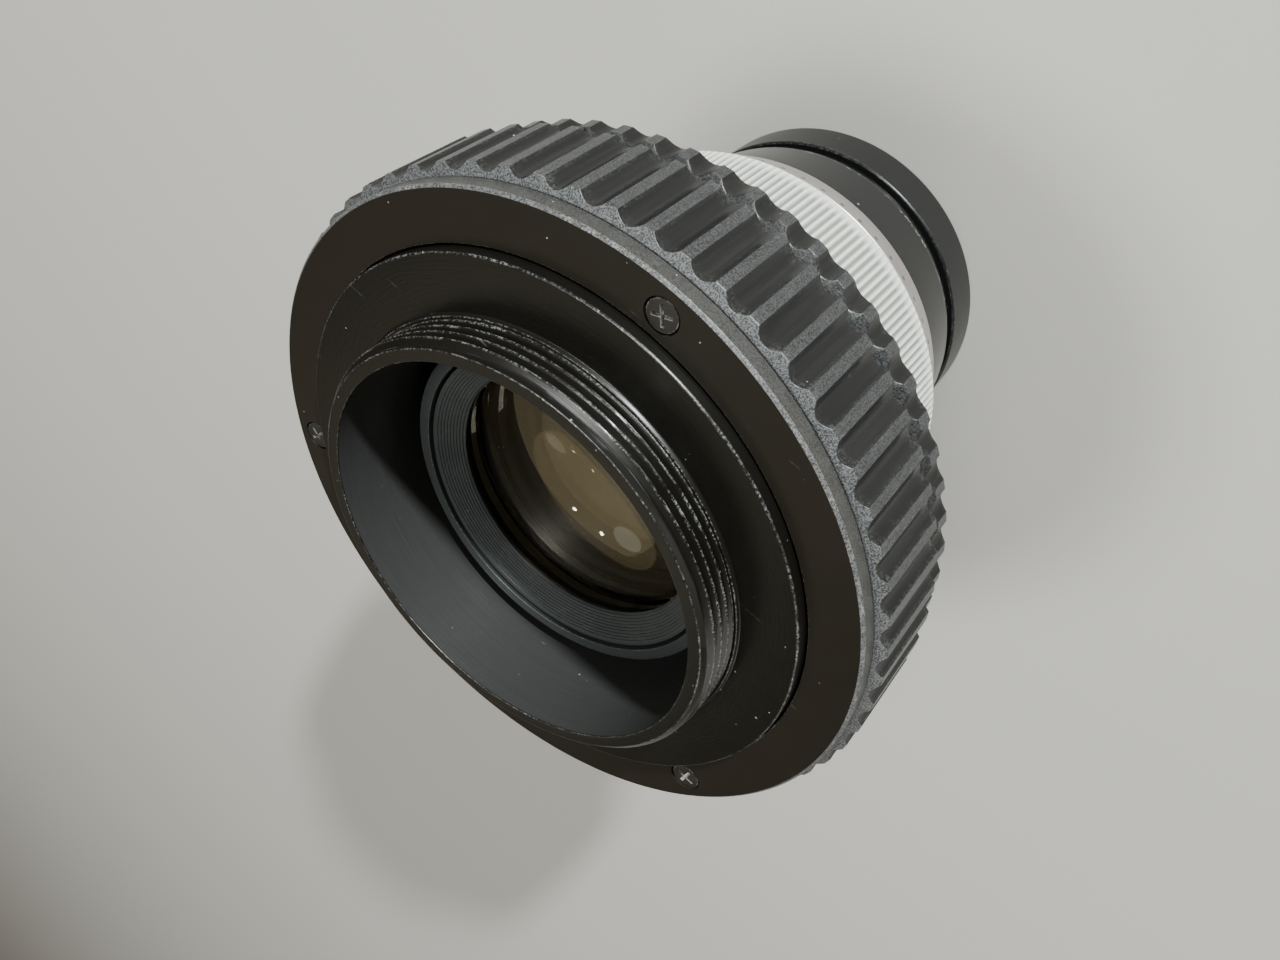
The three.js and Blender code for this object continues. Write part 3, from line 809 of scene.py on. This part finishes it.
def optics():
    def retainer(name, profile, node):
        place(turned(name, profile, 0.08, 2, FINE), "lens", black_lens, node)

    def cell(name, profile, node):
        place(turned(name, profile), "lens", black_inner, node)

    def glass(name, shape, material, node):
        place(dish(name, *shape), "lens", material, node)

    profile = [(13.2, 49.35), (15.65, 49.35), (15.65, 51.5, 0.08)]
    profile += stepped_cone((15.35, 51.45), (13.05, 50.05), 9)
    retainer("rear_ridged_retainer", profile + [(12.95, 49.9, 0.03)], "rear_retainer")
    cell("rear_lens_cell", [(11.8, 35.6), (14.9, 35.6), (14.9, 49), (13.9, 49), (13.9, 37.4), (11.8, 37.4)],
         "rear_cell")
    glass("rear_glass", (13.6, 44.6, 48.6, 0.9, 1.0), amber_glass, "rear_element")
    glass("rear_inner_glass", (13.6, 38, 42.6, -0.9, 0.9), clear_glass, "rear_inner_element")

    profile = [(12.1, 2.6), (12.1, 2.25, 0.05)] + stepped_cone((12.2, 2.2), (15.3, 1.0), 9)
    retainer("front_ridged_retainer", profile + [(15.7, 0.9, 0.08), (15.7, 2.6)], "front_retainer")
    cell("front_lens_cell",
         [(12.9, 2.95), (14.1, 2.95), (14.1, 15.6), (10.8, 15.6), (10.8, 14.4), (12.9, 14.4)], "front_cell")
    glass("front_glass", (12.6, 4.4, 8, 1.3, -0.8), amber_glass, "front_element")
    glass("front_inner_glass", (12.6, 9.6, 13.8, -0.8, -0.8), clear_glass, "front_inner_element")


# ---- iris ----
def arc(radius, start, sweep, steps, centre=(0, 0)):
    """Points on an arc, with its angles in degrees."""
    points = []
    for k in range(steps + 1):
        x, y = polar(radius, math.radians(start + sweep * k / steps))
        points.append((centre[0] + x, centre[1] + y))
    return points


def iris():
    base = turned("iris_base_plate", [(10.6, 16.8), (16, 16.8), (16, 17.7), (10.6, 17.7)], 0.08, 2)
    place(base, "lens", black_inner, "iris_base")
    tail = polar((BLADE_OUTER + BLADE_INNER) / 2, math.radians(95))
    outline = arc(BLADE_HEAD, 200, 140, 16, (BLADE_PIVOT, 0)) + arc(BLADE_OUTER, 5, 90, 32)
    outline += arc((BLADE_OUTER - BLADE_INNER) / 2, 95, 180, 12, tail) + arc(BLADE_INNER, 95, -86, 32)
    for i in range(BLADE_COUNT):
        low = BLADE_FIRST + BLADE_STEP * i
        c, s = polar(1, TURN * i / BLADE_COUNT)
        vertices = []
        for z in (low, low + BLADE_SHEET):
            for x, y in outline:
                vertices.append(((x * c - y * s) * MM, (x * s + y * c) * MM, z * MM))
        blade = make_object("iris_leaf_" + str(i + 1), vertices, prism_faces(len(outline)))
        place(blade, "blade_" + str(i + 1), blade_steel, "iris_blade_" + str(i + 1))


def hidden_pieces():
    glide = turned("glide_washer", [(25.3, 42.7), (29.5, 42.7), (29.5, 43.1), (25.3, 43.1)], 0.06, 2)
    place(glide, "glide", nylon, "glide_ring")
    carry(brass_turned, "guide_key_1", "guide_key_2", "helicoid_sleeve")
    carry(steel_bright, "detent_ball", "detent_spring", "drive_screw", "key_screw_1", "key_screw_2",
          "sleeve_screw_1", "sleeve_screw_2", "sleeve_screw_3")
    carry(black_inner, "iris_cam_ring")


# ---- studio ----
CAMERA_PLACE = Vector((16.09, 82.79, 112.95)) * MM
CAMERA_AIM = Vector((3.79, 5.15, 47.26)) * MM
CAMERA_ROLL = math.radians(132.4)
CAMERA_LENS = 32.15
SUBJECT = Vector((0, 0, 45)) * MM
FLOOR_HALF = 2.5
ROOM_COLOUR, ROOM_STRENGTH = (1.0, 0.87, 0.64, 1), 0.1


def camera():
    data = bpy.data.cameras.new("camera")
    data.lens = CAMERA_LENS
    data.sensor_width = 36
    data.clip_start = 0.005
    obj = link("camera", data)
    obj.location = CAMERA_PLACE
    aim = (CAMERA_AIM - CAMERA_PLACE).normalized()
    roll = Quaternion(aim, CAMERA_ROLL)
    obj.rotation_mode = "QUATERNION"
    obj.rotation_quaternion = roll @ aim.to_track_quat("-Z", "Y")
    bpy.context.scene.camera = obj


def area_light(name, azimuth, elevation, distance, size, power, colour):
    """A round light that faces the lens, at degrees round the axis and above the floor, and metres away."""
    data = bpy.data.lights.new(name, "AREA")
    data.shape = "DISK"
    data.size = size
    data.energy = power
    data.color = colour
    obj = link(name, data)
    a, e = math.radians(azimuth), math.radians(elevation)
    direction = Vector((math.cos(e) * math.cos(a), math.cos(e) * math.sin(a), math.sin(e)))
    obj.location = SUBJECT + direction * distance
    obj.rotation_mode = "QUATERNION"
    obj.rotation_quaternion = direction.to_track_quat("Z", "Y")


def studio():
    half = FLOOR_HALF
    mesh = bpy.data.meshes.new("floor")
    corners = [(-half, -half, 0), (half, -half, 0), (half, half, 0), (-half, half, 0)]
    mesh.from_pydata(corners, [], [(0, 1, 2, 3)])
    floor = link("floor", mesh)
    mesh.materials.append(floor_material())

    world = bpy.data.worlds.new("soft_room")
    bpy.context.scene.world = world
    world.use_nodes = True
    background = world.node_tree.nodes["Background"]
    background.inputs["Color"].default_value = ROOM_COLOUR
    background.inputs["Strength"].default_value = ROOM_STRENGTH

    area_light("key", 88, 14.7, 0.9, 0.05, 17, (0.94, 1, 0.99))
    area_light("ceiling", 160, 77, 1.0, 0.3, 4.8, (0.97, 1, 0.98))
    area_light("shelf", 98, 52, 1.2, 0.35, 3, (1, 0.99, 0.95))
    area_light("fill", 325, 28, 1.1, 0.6, 1.8, (1, 0.98, 0.94))
    area_light("panel", 255, 42, 0.5, 0.26, 0.08, (1, 0.92, 0.68))
    area_light("window", 270, 38.5, 0.6, 0.045, 0.0045, (0.85, 0.95, 1))
    area_light("bulb_left", 260.5, 35, 0.7, 0.007, 0.007, (1, 0.97, 0.9))
    area_light("bulb_right", 266, 35.4, 0.7, 0.007, 0.007, (1, 0.97, 0.9))


mount_tube()
rear_plate()
rear_screws()
rear_barrel()
focus_ring()
front_barrel()
aperture_ring()
lens_outside()
optics()
iris()
hidden_pieces()
camera()
studio()
